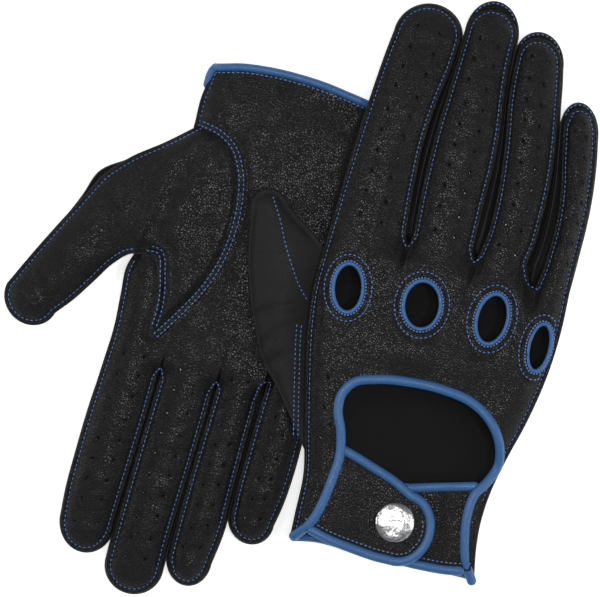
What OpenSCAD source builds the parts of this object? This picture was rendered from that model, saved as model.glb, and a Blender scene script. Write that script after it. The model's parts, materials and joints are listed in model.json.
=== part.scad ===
// Two leather driving gloves, laid one on the other.
// The front glove lies back up with its fingers pointing away, on top of the rear glove, which lies palm up.
// Each glove is drawn flat in its own frame: +X from the thumb to the little finger, +Y from the wrist
// to the fingertips, +Z from the palm to the back. lay() then puts the glove in its place.

/* [Leather] */
// Thickness of every leather piece
leather = 1.2; // [0.8:0.1:1.6]
// Height of an empty glove that lies flat
thick = 12; // [10:0.5:16]
// Width of the leather binding along an edge
binding_w = 3.6; // [2.4:0.1:4.4]
// Thickness of the leather binding
binding_t = 2.4; // [1.8:0.1:3]
// Clearance between pieces that move against each other
joint_gap = 0.4; // [0.3:0.05:0.8]

/* [Hand] */
// Width across the wrist
wrist_w = 74; // [60:1:90]
// Length from the wrist edge to the roots of the index and middle fingers
hand_len = 127; // [104:1:154]
// How far the ring finger's root is set back
ring_back = 2; // [0:0.5:4]
// How far the little finger's root is set back
little_back = 11; // [6:0.5:14]
// Height of the heel of the hand above the wrist edge
heel_y = 28; // [20:1:40]
// Height of the hand's widest point above the wrist edge
wide_y = 92; // [60:1:96]

/* [Fingers] */
// Widths of the index, middle, ring and little fingers
finger_w = [24, 21, 18, 15.5]; // [12:0.5:30]
// Lengths of the index, middle, ring and little fingers
finger_len = [91, 99, 92, 76]; // [60:1:120]
// Share of its length that a curled finger of the rear glove reaches
rear_reach = 0.85; // [0.8:0.01:1]
// Gaps between the finger roots of the front glove
front_root_gaps = [8, 6, 4]; // [0.8:0.1:12]
// Gaps between the fingertips of the front glove
front_tip_gaps = [4, 1, 5]; // [0.8:0.1:12]
// Gaps between the finger roots of the rear glove
rear_root_gaps = [0.8, 1, 3.5]; // [0.8:0.1:12]
// Gaps between the fingertips of the rear glove
rear_tip_gaps = [1.2, 1, 3.5]; // [0.8:0.1:12]

/* [Thumb] */
// Width of the thumb at its tip
thumb_w = 23; // [16:0.5:28]
// Length from the middle of the thumb's root to the middle of its round tip
thumb_len = 67; // [50:1:80]
// Start of the thumb's root above the wrist edge
thumb_y = 30; // [26:1:40]
// Length of the thumb's root along the side of the hand
thumb_root = 56; // [40:1:60]
// Roundness of the ball of the thumb
thumb_ball = 5; // [2:0.5:7]
// How far the thumb's root stands out past the index finger
thumb_out = 2.5; // [1:0.5:5]
// Angle of the front glove's thumb from its hand
front_thumb_angle = 23; // [15:1:35]
// Angle of the rear glove's thumb from its hand
rear_thumb_angle = 36; // [25:1:45]
// Droop of the front glove's thumb, which hangs past the hand
thumb_droop = 8; // [4:1:12]

/* [Back opening] */
// Width of the back panel left of the opening at the wrist
left_wing = 12.5; // [10:0.5:16]
// Width of the back panel right of the opening at the wrist
right_wing = 6.5; // [5.5:0.5:12]
// How far the round part of the opening reaches past its neck towards the thumb
lobe_out = 4.5; // [2:0.5:6]
// Leather left between the opening's binding and the wall at the little finger's side
lobe_rim = 1.2; // [1:0.1:6]
// Height of the middle of the opening's round part above the strap's upper edge
lobe_rise = 14; // [13:1:24]
// Height of the opening's top above the middle of its round part
lobe_h = 21; // [15:1:26]

/* [Knuckle holes] */
// Width of the holes over the index, middle, ring and little knuckles
hole_w = [10, 13, 11, 7.5]; // [5:0.5:15]
// Height of the knuckle holes
hole_h = 18; // [14:0.5:22]
// How far a knuckle hole sits above the middle of the leather between the opening and its finger's root
hole_rise = 0; // [-3:0.5:3]
// Width of the binding round a knuckle hole
ring_w = 1.8; // [1.2:0.1:2.2]

/* [Strap and snap] */
// Radius of the strap's round end
strap_r = 13.5; // [12:0.5:16]
// Height of the snap above the wrist edge
snap_y = 14; // [14:0.5:20]
// Lower edge of the strap where it leaves the wing, above the wrist edge
strap_low = 3; // [2:0.5:8]
// Upper edge of the strap where it leaves the wing, above the wrist edge
strap_high = 36; // [30:0.5:38]
// Radius of the under-flap's round end
flap_r = 12.5; // [11:0.5:14]
// Upper edge of the under-flap at the right wing, above the wrist edge
flap_high = 33; // [28:0.5:36]
// Diameter of the snap's cap
cap_d = 16; // [12:0.5:17]
// Height of the snap's cap
cap_h = 1.6; // [1:0.1:2]
// Diameter of the rivet barrels
barrel_d = 3.6; // [2.4:0.1:4]
// Diameter of the snap's socket
socket_d = 11; // [9:0.5:13]
// Height of the snap's socket
socket_h = 1.6; // [1.3:0.1:2]
// Diameter of the stud's head
stud_d = 5.8; // [5:0.1:6.4]
// Thickness of the snap's flanges
flange_t = 0.6; // [0.4:0.1:0.8]

/* [Lay] */
// Turn of the front glove from straight up
front_turn = 11.3; // [0:0.1:20]
// Turn of the rear glove from straight down
rear_turn = 16.4; // [0:0.1:30]
// Place of the front glove's wrist
front_at = [34, -103.8]; // [-150:0.1:150]
// Place of the rear glove's wrist
rear_at = [-6.8, 84.6]; // [-150:0.1:150]
// Shift of the wrist from the front glove's long axis
front_wrist_x = -2; // [-6:0.5:6]
// Shift of the wrist from the rear glove's long axis
rear_wrist_x = 4; // [-2:0.5:8]
// How far the rear glove's hand is wider than its little finger's root
rear_side_out = 4; // [0:0.5:6]

/* [Hidden] */
$fn = 48;
digits = ["index", "middle", "ring", "little"];
gloves = ["front", "rear"];
PARTS = [
    "hand_back", "hand_palm", "thumb_back", "thumb_palm",
    for (d = digits) str(d, "_back"),
    for (d = digits) str(d, "_palm"),
    for (i = [0:2]) str("fourchette_", digits[i], "_", digits[i + 1]),
    for (i = [0:2]) str("fourchette_", digits[i + 1], "_", digits[i]),
    "knuckle_bindings", "opening_binding", "wrist_binding",
    "strap", "strap_binding", "under_flap", "flap_binding",
    "snap_cap", "snap_socket", "snap_stud", "snap_post"
];

leather_black = [0.075, 0.075, 0.085];
lining_black = [0.13, 0.13, 0.14];
binding_blue = [0.16, 0.36, 0.64];
chrome = [0.82, 0.83, 0.85];

// Height of the space inside a glove
inside_h = thick - 2 * leather;
// Extra reach of a cutter past the face that it cuts
over = 1;

// Places of the fingers. The middle finger's centre line sets the others by widths and gaps.
function is_front(g) = g == "front";
function root_gaps(g) = is_front(g) ? front_root_gaps : rear_root_gaps;
function tip_gaps(g) = is_front(g) ? front_tip_gaps : rear_tip_gaps;
function middle_tip_x(g) = is_front(g) ? 1.5 : -2.8;
function pitch(gaps, i) = (finger_w[i] + finger_w[i + 1]) / 2 + gaps[i];
function row(middle, gaps) = [
    middle - pitch(gaps, 0), middle, middle + pitch(gaps, 1), middle + pitch(gaps, 1) + pitch(gaps, 2)
];
middle_root_x = -3;
function root_x(g) = row(middle_root_x, root_gaps(g));
function tip_x(g) = row(middle_tip_x(g), tip_gaps(g));
root_y = [hand_len, hand_len, hand_len - ring_back, hand_len - little_back];
function reach(g) = is_front(g) ? 1 : rear_reach;
// Vector from a finger's root to the middle of its round tip
function finger_line(g, i) = [tip_x(g)[i] - root_x(g)[i], finger_len[i] * reach(g) - finger_w[i] / 2];
function finger_lean(g, i) = atan2(finger_line(g, i).x, finger_line(g, i).y);
// Corner of a finger's root, with side -1 towards the thumb and 1 towards the little finger
function root_corner(g, i, side) = [
    root_x(g)[i] + side * finger_w[i] / 2 * cos(finger_lean(g, i)),
    root_y[i] - side * finger_w[i] / 2 * sin(finger_lean(g, i))
];

// Sides of the hand
function wrist_x(g) = is_front(g) ? front_wrist_x : rear_wrist_x;
function wrist_left(g) = wrist_x(g) - wrist_w / 2;
function wrist_right(g) = wrist_x(g) + wrist_w / 2;
thumb_top_y = thumb_y + thumb_root;
function thumb_top_x(g) = root_corner(g, 0, -1).x - thumb_out;
function left_low(g, y0) = [[wrist_left(g), y0], [wrist_left(g), thumb_y]];
function left_high(g) = [[thumb_top_x(g), thumb_top_y], root_corner(g, 0, -1)];
function side_x(g) = root_corner(g, 3, 1).x + (is_front(g) ? 0 : rear_side_out);
function right_side(g, y0) = [
    [wrist_right(g), y0], [wrist_right(g), heel_y], [side_x(g), wide_y], root_corner(g, 3, 1)
];
function reversed(p) = [for (i = [len(p) - 1:-1:0]) p[i]];
function moved(p, v) = [for (q = p) q + v];
function hand_outline(g, y0) = concat(
    left_low(g, y0), left_high(g),
    [root_corner(g, 0, 1)],
    [for (i = [1, 2]) for (side = [-1, 1]) root_corner(g, i, side)],
    [root_corner(g, 3, -1)],
    reversed(right_side(g, y0))
);
// A thin wall along a row of points, as thick as the vector v
function wall(p, v) = concat(p, reversed(moved(p, v)));

// Back opening: a neck between the wings and a round part above it
function neck_left(g) = wrist_left(g) + left_wing;
function neck_right(g) = wrist_right(g) - right_wing;
function neck_mid(g) = (neck_left(g) + neck_right(g)) / 2;
lobe_y = strap_high + lobe_rise;
function lobe_left(g) = neck_left(g) - lobe_out;
function lobe_right(g) =
    wrist_right(g) + (side_x(g) - wrist_right(g)) * (lobe_y - heel_y) / (wide_y - heel_y)
    - leather - binding_w - lobe_rim;
function opening_outline(g, grow) = concat(
    [[neck_right(g) + grow, -over], [neck_right(g) + grow, strap_high]],
    [for (a = [-30:7.5:210]) [
        (lobe_left(g) + lobe_right(g)) / 2 + ((lobe_right(g) - lobe_left(g)) / 2 + grow) * cos(a),
        lobe_y + (lobe_h + grow) * sin(a)
    ]],
    [[neck_left(g) - grow, strap_high], [neck_left(g) - grow, -over]]
);
function ellipse(w, h) = [for (a = [0:12:348]) [w / 2 * cos(a), h / 2 * sin(a)]];
function arc(centre, r, from, to) = [for (a = [from:(to - from) / 16:to]) centre + r * [cos(a), sin(a)]];

// Heights of the layers at the wrist, from the outside in
strap_top = thick - binding_t;
strap_under = strap_top - leather;
socket_under = strap_under - socket_h;
flap_top = socket_under - joint_gap / 2 - flange_t;
flap_under = flap_top - leather;
// How far the binding of the strap and the flap stands proud of their leather
edge_proud = 0.4;
// Shift of the front strap's hinge line above the back of the hand
hinge_up = 0.5;

// How the gloves lie. The front glove leans on the rear one's edge and its little-finger side is on the floor.
function turned(p, a) = [p.x * cos(a) - p.y * sin(a), p.x * sin(a) + p.y * cos(a)];
function rear_plan(p) = rear_at + turned([p.x, -p.y], -rear_turn);
function front_plan(p) = turned(p - front_at, front_turn);
little_line = finger_line("rear", 3);
rear_edge = concat(
    right_side("rear", 0),
    [root_corner("rear", 3, 1) + little_line + [0, finger_w[3] / 2]]
);
rear_edge_x = max([for (p = rear_edge) front_plan(rear_plan(p)).x]);
front_edge_x = max(concat([for (p = right_side("front", 0)) p.x], [tip_x("front")[3] + finger_w[3] / 2]));
lay_tilt = asin((thick + joint_gap) / (front_edge_x - rear_edge_x));
front_lift = front_edge_x * sin(lay_tilt);

module lay(g) {
    if (is_front(g)) translate([front_at.x, front_at.y, front_lift]) rotate([0, lay_tilt, -front_turn]) children();
    else translate([rear_at.x, rear_at.y, thick]) rotate([180, 0, -rear_turn]) children();
}
module slab(points, from, to) { translate([0, 0, from]) linear_extrude(to - from) polygon(points); }

// Hand
module hand_back(g) {
    color(leather_black) union() {
        difference() {
            slab(hand_outline(g, 0), thick - leather, thick);
            slab(opening_outline(g, binding_w), thick - leather - over, thick + over);
            for (i = [0:3]) at_knuckle(g, i)
                slab(ellipse(hole_w[i] + 2 * ring_w, hole_h + 2 * ring_w), thick - leather - over, thick + over);
        }
        strap_seat(g);
    }
}
// The folded end of the strap's leather, sewn under the left wing
module strap_seat(g) {
    seat_w = binding_w / 2;
    translate([neck_left(g) - binding_w - seat_w, strap_low + binding_w, strap_under])
        cube([seat_w, strap_high - strap_low - 2 * binding_w, thick - leather - strap_under]);
    translate([neck_left(g) - binding_w - seat_w, strap_low + binding_w, strap_under])
        cube([seat_w + binding_w, strap_high - strap_low - 2 * binding_w, leather]);
}
module hand_palm(g) {
    color(leather_black) union() {
        slab(hand_outline(g, binding_w), 0, leather);
        hand_wall(wall(left_low(g, binding_w), [leather, 0]));
        hand_wall(wall(left_high(g), [leather, 0]));
        hand_wall(wall(right_side(g, binding_w), [-leather, 0]));
        for (i = [0:2]) hand_wall(wall([root_corner(g, i, 1), root_corner(g, i + 1, -1)], [0, -leather]));
    }
}
module hand_wall(points) { slab(points, leather, thick - leather); }

// Fingers, each drawn from its root along +Y
module at_finger(g, i) {
    translate([root_x(g)[i], root_y[i], 0]) rotate([0, 0, -finger_lean(g, i)]) children();
}
opening_top_y = lobe_y + lobe_h + binding_w;
function hole_y(i) = (opening_top_y + root_y[i]) / 2 + hole_rise;
module at_knuckle(g, i) { translate([root_x(g)[i], hole_y(i), 0]) children(); }
function straight_len(g, i) = norm(finger_line(g, i));
function finger_outline(g, i) = concat(
    [[finger_w[i] / 2, joint_gap]],
    arc([0, straight_len(g, i)], finger_w[i] / 2, 0, 180),
    [[-finger_w[i] / 2, joint_gap]]
);
module finger_back(g, i) {
    color(leather_black) at_finger(g, i) slab(finger_outline(g, i), thick - leather, thick);
}
module finger_palm(g, i) {
    tip = [0, straight_len(g, i)];
    color(leather_black) at_finger(g, i) union() {
        slab(finger_outline(g, i), 0, leather);
        slab(
            concat(arc(tip, finger_w[i] / 2, 0, 180), arc(tip, finger_w[i] / 2 - leather, 180, 0)),
            leather, thick - leather
        );
        if (i == 0) finger_side(g, i, -1);
        if (i == 3) finger_side(g, i, 1);
    }
}
module finger_side(g, i, side) {
    translate([side * (finger_w[i] - leather) / 2 - leather / 2, joint_gap, leather])
        cube([leather, straight_len(g, i) - joint_gap, inside_h]);
}
// Side strip of finger i, facing its neighbour
module fourchette(g, i, side) { color(lining_black) at_finger(g, i) finger_side(g, i, side); }

// Thumb, outline from the wrist end of its root round the tip to the crotch
function thumb_angle(g) = is_front(g) ? front_thumb_angle : rear_thumb_angle;
function thumb_low(g) = [wrist_left(g) - joint_gap, thumb_y];
function thumb_high(g) = [thumb_top_x(g) - joint_gap, thumb_top_y];
function thumb_dir(g) = [-sin(thumb_angle(g)), cos(thumb_angle(g))];
function thumb_out_dir(g) = [-cos(thumb_angle(g)), -sin(thumb_angle(g))];
function thumb_tip(g) = (thumb_low(g) + thumb_high(g)) / 2 + thumb_len * thumb_dir(g);
function thumb_ball_at(g) = 0.55 * thumb_low(g)
    + 0.45 * (thumb_tip(g) + thumb_w / 2 * thumb_out_dir(g)) + thumb_ball * thumb_out_dir(g);
function thumb_outline(g, inset) =
    let (root_dir = (thumb_high(g) - thumb_low(g)) / norm(thumb_high(g) - thumb_low(g)))
    concat(
        [thumb_low(g) + inset * root_dir, thumb_ball_at(g) - inset * thumb_out_dir(g)],
        arc(thumb_tip(g), thumb_w / 2 - inset, 180 + thumb_angle(g), thumb_angle(g)),
        [thumb_high(g) - inset * root_dir]
    );
// The front glove's thumb droops about its root line
module droop(g) {
    root_turn = atan2(thumb_low(g).x - thumb_high(g).x, thumb_root);
    if (is_front(g)) translate([thumb_low(g).x, thumb_low(g).y, 0]) rotate([0, 0, root_turn])
        rotate([0, -thumb_droop, 0]) rotate([0, 0, -root_turn])
        translate([-thumb_low(g).x, -thumb_low(g).y, 0]) children();
    else children();
}
module thumb_back(g) {
    color(leather_black) droop(g) slab(thumb_outline(g, 0), thick - leather, thick);
}
module thumb_palm(g) {
    color(leather_black) droop(g) union() {
        slab(thumb_outline(g, 0), 0, leather);
        slab(concat(thumb_outline(g, 0), reversed(thumb_outline(g, leather))), leather, thick - leather);
    }
}

// Bindings
module knuckle_bindings(g) {
    color(binding_blue) for (i = [0:3]) at_knuckle(g, i) difference() {
        slab(ellipse(hole_w[i] + 2 * ring_w, hole_h + 2 * ring_w), thick - leather, thick);
        slab(ellipse(hole_w[i], hole_h), thick - leather - over, thick + over);
    }
}
module opening_binding(g) {
    color(binding_blue) intersection() {
        difference() {
            slab(opening_outline(g, binding_w), thick - binding_t, thick);
            slab(opening_outline(g, 0), thick - binding_t - over, thick + over);
        }
        translate([wrist_left(g), 0, 0]) cube([wrist_w, hand_len, thick + over]);
    }
}
module wrist_binding(g) {
    color(binding_blue) translate([wrist_left(g), 0, 0]) cube([wrist_w, binding_w, binding_t]);
}

// Strap from the left wing, and the flap under it from the right wing
function snap_at(g) = [neck_mid(g), snap_y];
function strap_outline(g, inset) = concat(
    [[neck_left(g) + joint_gap, strap_high - inset], [neck_left(g) + joint_gap, strap_low + inset]],
    arc(snap_at(g), strap_r - inset, -90, 62)
);
function flap_root(g) = wrist_right(g) - leather;
function flap_outline(g, inset) = concat(
    [[flap_root(g), snap_y - flap_r + inset], [flap_root(g), flap_high - inset]],
    arc(snap_at(g), flap_r - inset, 118, 270)
);
module snap_axis(g) { translate([neck_mid(g), snap_y, 0]) children(); }
module barrel_hole(g, from, to) {
    snap_axis(g) translate([0, 0, from - over]) cylinder(d = barrel_d, h = to - from + 2 * over);
}
module edging(outer, inner, from, to) {
    color(binding_blue) difference() {
        slab(outer, from - edge_proud, to + edge_proud);
        slab(inner, from - edge_proud - over, to + edge_proud + over);
    }
}
module strap(g) {
    color(leather_black) difference() {
        slab(strap_outline(g, binding_w), strap_under, strap_top);
        barrel_hole(g, strap_under, strap_top);
    }
}
module strap_binding(g) { edging(strap_outline(g, 0), strap_outline(g, binding_w), strap_under, strap_top); }
module under_flap(g) {
    color(leather_black) difference() {
        slab(flap_outline(g, binding_w), flap_under, flap_top);
        barrel_hole(g, flap_under, flap_top);
    }
}
module flap_binding(g) { edging(flap_outline(g, 0), flap_outline(g, binding_w), flap_under, flap_top); }

// Snap fastener: cap and socket are riveted to the strap, stud and post to the flap
module snap_cap(g) {
    color(chrome) snap_axis(g) {
        translate([0, 0, strap_top]) cylinder(d1 = cap_d, d2 = cap_d - 2 * cap_h, h = cap_h);
        translate([0, 0, strap_under - flange_t]) cylinder(d = barrel_d, h = leather + flange_t + 0.1);
    }
}
module snap_socket(g) {
    color(chrome) snap_axis(g) difference() {
        translate([0, 0, socket_under]) cylinder(d = socket_d, h = socket_h);
        translate([0, 0, socket_under - over]) cylinder(d = stud_d + 2 * joint_gap, h = socket_h - flange_t + over);
        translate([0, 0, socket_under - over]) cylinder(d = barrel_d, h = socket_h + 2 * over);
    }
}
stud_top = strap_under - flange_t - joint_gap / 4;
module snap_stud(g) {
    color(chrome) snap_axis(g) difference() {
        union() {
            translate([0, 0, flap_top]) cylinder(d = socket_d - 2, h = flange_t);
            translate([0, 0, flap_top]) cylinder(d = stud_d, h = stud_top - flap_top);
        }
        translate([0, 0, flap_top - over]) cylinder(d = barrel_d, h = flange_t + over);
    }
}
module snap_post(g) {
    color(chrome) snap_axis(g) {
        translate([0, 0, flap_under - flange_t]) cylinder(d = socket_d - 1, h = flange_t);
        translate([0, 0, flap_under - flange_t]) cylinder(d = barrel_d, h = leather + 2 * flange_t);
    }
}

module piece(g, p) {
    if (p == "hand_back") hand_back(g);
    if (p == "hand_palm") hand_palm(g);
    if (p == "thumb_back") thumb_back(g);
    if (p == "thumb_palm") thumb_palm(g);
    for (i = [0:3]) if (p == str(digits[i], "_back")) finger_back(g, i);
    for (i = [0:3]) if (p == str(digits[i], "_palm")) finger_palm(g, i);
    for (i = [0:2]) if (p == str("fourchette_", digits[i], "_", digits[i + 1])) fourchette(g, i, 1);
    for (i = [0:2]) if (p == str("fourchette_", digits[i + 1], "_", digits[i])) fourchette(g, i + 1, -1);
    if (p == "knuckle_bindings") knuckle_bindings(g);
    if (p == "opening_binding") opening_binding(g);
    if (p == "wrist_binding") wrist_binding(g);
    if (p == "strap") strap(g);
    if (p == "strap_binding") strap_binding(g);
    if (p == "under_flap") under_flap(g);
    if (p == "flap_binding") flap_binding(g);
    if (p == "snap_cap") snap_cap(g);
    if (p == "snap_socket") snap_socket(g);
    if (p == "snap_stud") snap_stud(g);
    if (p == "snap_post") snap_post(g);
}
for (g = gloves) for (p = PARTS) lay(g) piece(g, p);
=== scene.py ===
import json
import math

import bmesh
import bpy
import numpy as np
from mathutils import Matrix, Vector, noise
from mathutils.bvhtree import BVHTree
from mathutils.kdtree import KDTree


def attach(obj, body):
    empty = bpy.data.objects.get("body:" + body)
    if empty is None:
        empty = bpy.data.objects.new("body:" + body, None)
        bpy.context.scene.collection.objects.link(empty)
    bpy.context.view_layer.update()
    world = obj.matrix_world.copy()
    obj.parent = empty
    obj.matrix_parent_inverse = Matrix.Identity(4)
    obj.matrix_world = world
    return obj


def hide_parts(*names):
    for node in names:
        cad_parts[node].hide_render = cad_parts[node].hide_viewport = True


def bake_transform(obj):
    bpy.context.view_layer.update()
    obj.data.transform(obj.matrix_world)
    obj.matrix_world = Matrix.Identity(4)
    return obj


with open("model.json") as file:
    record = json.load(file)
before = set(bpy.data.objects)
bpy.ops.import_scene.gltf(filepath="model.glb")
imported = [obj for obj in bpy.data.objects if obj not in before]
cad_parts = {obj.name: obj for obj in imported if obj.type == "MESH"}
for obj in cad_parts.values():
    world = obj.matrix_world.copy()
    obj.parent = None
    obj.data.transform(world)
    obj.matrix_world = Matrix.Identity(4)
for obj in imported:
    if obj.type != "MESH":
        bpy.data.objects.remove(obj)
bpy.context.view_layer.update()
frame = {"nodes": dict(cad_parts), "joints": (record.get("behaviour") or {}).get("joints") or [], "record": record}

# ---- How the gloves lie
# Each glove is laid out flat in millimetres: x from the thumb to the little finger, y from the wrist to the
# fingertips, and up from the face it lies on. The front glove lies back up, the rear one lies palm up.
MM = 0.001
THICK = 12.0
mounts = {m["name"]: m for m in frame["record"]["mounts"]}
hinges = {j["name"]: j for j in frame["joints"]}


def lay_matrix(wrist, wrist_mid, up, palm_to_back):
    """From a glove's flat layout in millimetres to its place, from the mount in its wrist opening."""
    y = -Vector(wrist["axis"])
    x = y.cross(Vector(palm_to_back))
    origin = Vector(wrist["pos_m"]) - MM * (wrist_mid * x + THICK / 2 * Vector(up))
    turn = Matrix((x, y, Vector(up))).transposed().to_4x4()
    return Matrix.Translation(origin) @ turn @ Matrix.Diagonal((MM, MM, MM, 1))


front_up = hinges["front_thumb_spread"]["axis"]
lay = {
    "front": lay_matrix(mounts["front_wrist_opening"], -2.0, front_up, front_up),
    "rear": lay_matrix(mounts["rear_wrist_opening"], 4.0, (0, 0, 1), (0, 0, -1)),
}
# The front glove's layout is slanted towards its thumb above this height, by LEAN for each millimetre
LEAN = 0.22
LEAN_FROM = 3.5
lay["front"] = lay["front"] @ Matrix(
    ((1, 0, -LEAN, LEAN_FROM * LEAN), (0, 1, 0, 0), (0, 0, 1, 0), (0, 0, 0, 1))
)
show_side = {"front": "back", "rear": "palm"}
hidden_side = {"front": "palm", "rear": "back"}
digits = ["index", "middle", "ring", "little"]


# ---- Shape of the hands and fingers
# Back and palm are cut as one panel each, with the fingers on them. Their edges lie flat outside the seam
# and the leather stands up in a low crown between the seams, pulled down in a groove along every stitch row.
def smooth_line(points, t):
    """Points at the shares t of the way along a smooth line through the given points."""
    p = np.array(points, float)
    d = np.r_[0, np.cumsum(np.linalg.norm(np.diff(p, axis=0), axis=1))]
    tangent = np.gradient(p, d, axis=0)
    s = np.atleast_1d(t) * d[-1]
    k = np.clip(np.searchsorted(d, s, side="right") - 1, 0, len(d) - 2)
    h = (d[k + 1] - d[k])[:, None]
    q = ((s - d[k]) / h[:, 0])[:, None]
    return (
        (2 * q**3 - 3 * q**2 + 1) * p[k]
        + (q**3 - 2 * q**2 + q) * h * tangent[k]
        + (3 * q**2 - 2 * q**3) * p[k + 1]
        + (q**3 - q**2) * h * tangent[k + 1]
    )


def side_at(points, y):
    """x of a hand's side at the heights y, through points given as (y, x)."""
    line = smooth_line(points, np.linspace(0, 1, 200))
    return np.interp(y, line[:, 0], line[:, 1])


def step(low, high, x):
    q = np.clip((x - low) / (high - low), 0, 1)
    return q * q * (3 - 2 * q)


def grid_mesh(points):
    """A bmesh grid whose corners are put at the given rows of points."""
    n, m = points.shape[:2]
    bm = bmesh.new()
    bmesh.ops.create_grid(bm, x_segments=m - 1, y_segments=n - 1, size=1.0)
    for v, co in zip(bm.verts, points.reshape(-1, 3)):
        v.co = co
    return bm


LIPS = np.array([0, 0.5, 1.0, 1.5, 1.9, 2.4, 3.0, 3.8])
SEAM_IN = 1.9
CELL = 1.15
WALL = 0.9

# Fingers: stations (y, left edge, right edge) and the tip's length and lean
shape = {
    "front": {
        "fingers": {
            "index": (
                [
                    (127, -47.8, -17.3), (148, -45.8, -17.8), (165, -43.9, -17.4), (182, -41.8, -15.2),
                    (196, -39.8, -12.4), (206, -38.0, -11.2),
                ],
                13.0, 0.05,
            ),
            "middle": (
                [
                    (127, -14.8, 10.6), (147, -14.8, 11.4), (160, -14.4, 12.2), (175, -13.4, 12.0),
                    (190, -11.8, 10.8), (203, -10.6, 10.4), (212, -9.8, 10.9),
                ],
                10.6, 0.0,
            ),
            "ring": (
                [
                    (125, 12.9, 33.2), (134, 14.8, 35.0), (145, 15.5, 35.8), (160, 15.2, 36.2),
                    (173, 14.2, 35.4), (188, 12.4, 33.6), (199, 12.0, 32.2), (205, 12.2, 31.2),
                ],
                9.8, -0.08,
            ),
            "little": (
                [
                    (116, 37.9, 52.4), (124, 39.6, 52.6), (133, 40.6, 53.0), (144, 41.2, 53.6),
                    (157, 40.4, 53.6), (170, 38.2, 52.6), (181, 36.6, 51.0),
                ],
                10.4, -0.18,
            ),
        },
        "left": [
            (-2, -39.6), (10, -39.4), (26, -39.2), (42, -42.0), (62, -45.6), (82, -48.8), (98, -50.0),
            (114, -49.0), (127, -47.8),
        ],
        "right": [
            (-2, 37.0), (8, 35.6), (20, 35.2), (32, 36.6), (46, 40.2), (63, 45.6), (82, 50.0), (102, 52.2),
            (116, 52.4), (130, 52.4),
        ],
        "wrist": [(-40, 0.0), (-30, 1.2), (-14, 0.0), (4, -1.6), (25, -1.6), (37, -2.0)],
        "crotch": [3.6, 3.2, 2.4],
    },
    "rear": {
        "fingers": {
            "index": (
                [
                    (127, -37.8, -15.2), (145, -38.2, -15.0), (165, -38.2, -15.2), (180, -37.8, -15.4),
                    (190, -36.8, -15.4),
                ],
                12.6, 0.05,
            ),
            "middle": (
                [
                    (127, -14.5, 7.8), (150, -14.6, 8.0), (172, -14.6, 7.8), (190, -14.4, 7.8),
                    (202, -14.2, 8.2),
                ],
                11.2, 0.0,
            ),
            "ring": (
                [(125, 8.6, 26.2), (145, 8.4, 26.4), (165, 8.4, 26.9), (180, 8.6, 27.3), (193, 9.0, 26.0)],
                10.8, 0.08,
            ),
            "little": (
                [
                    (116, 27.4, 46.6), (135, 27.4, 47.6), (150, 27.6, 47.9), (163, 27.8, 47.2),
                    (171, 28.4, 46.0),
                ],
                9.6, 0.08,
            ),
        },
        "left": [
            (-4, -29.0), (6, -29.2), (14, -30.0), (27, -29.6), (45, -32.0), (62, -34.0), (80, -37.6),
            (88, -39.6), (98, -38.8), (112, -37.6), (127, -37.8),
        ],
        "right": [(-4, 40.0), (14, 40.6), (28, 41.0), (60, 45.0), (92, 48.6), (110, 47.6), (130, 46.4)],
        "wrist": [
            (-30, 1.6), (-25, 0.4), (-18, -1.6), (-6, -3.4), (6, -4.0), (18, -3.6), (27, -2.6), (41, -1.0),
        ],
        "crotch": [3.0, 3.0, 3.0],
    },
}
# Heights above the face that the glove lies on: of the seams at the roots and at the tips, and of the crowns
TOP = {"seam": 8.9, "seam_tip": 7.2, "crown": 3.7, "pillow": 0.9}
UNDER = {"seam": 3.3, "seam_tip": 5.0, "crown": -2.7, "pillow": 0.0}


def spread(width):
    """Distances from the left edge at which a panel's columns lie, close together along both edges."""
    n = max(4, round((np.ravel(width)[0] - 2 * LIPS[-1]) / CELL))
    inner = np.arange(1, n) / n
    width = np.atleast_1d(width)[:, None]
    left = np.repeat(LIPS[None, :], len(width), 0)
    return np.hstack([left, LIPS[-1] + (width - 2 * LIPS[-1]) * inner, width - left[:, ::-1]])


def crown(edge, half):
    """Height of a stuffed panel from 0 at its seam to 1 in its middle."""
    t = np.clip((edge - SEAM_IN) / np.maximum(half - SEAM_IN, 1), 0, 1)
    return (1 - (1 - t) ** 2) ** 0.6


def lip(edge):
    """Flat edge outside a seam, and the groove that the stitches pull."""
    return np.interp(edge, [0, 0.5, 1.2, 1.6, 1.95, 2.4, 3.0], [-0.3, 0.05, 0.1, -0.1, -0.4, -0.15, 0])


def wrinkle(x, y, size, seed):
    """Slow uneven rise and fall of loose leather, from -1 to 1."""
    flat = np.c_[np.ravel(x), np.ravel(y)] / size
    values = [
        noise.noise(Vector((a, b, seed))) + 0.5 * noise.noise(Vector((2.3 * a, 2.3 * b, seed + 9)))
        for a, b in flat
    ]
    return np.reshape(values, np.shape(x))


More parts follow.
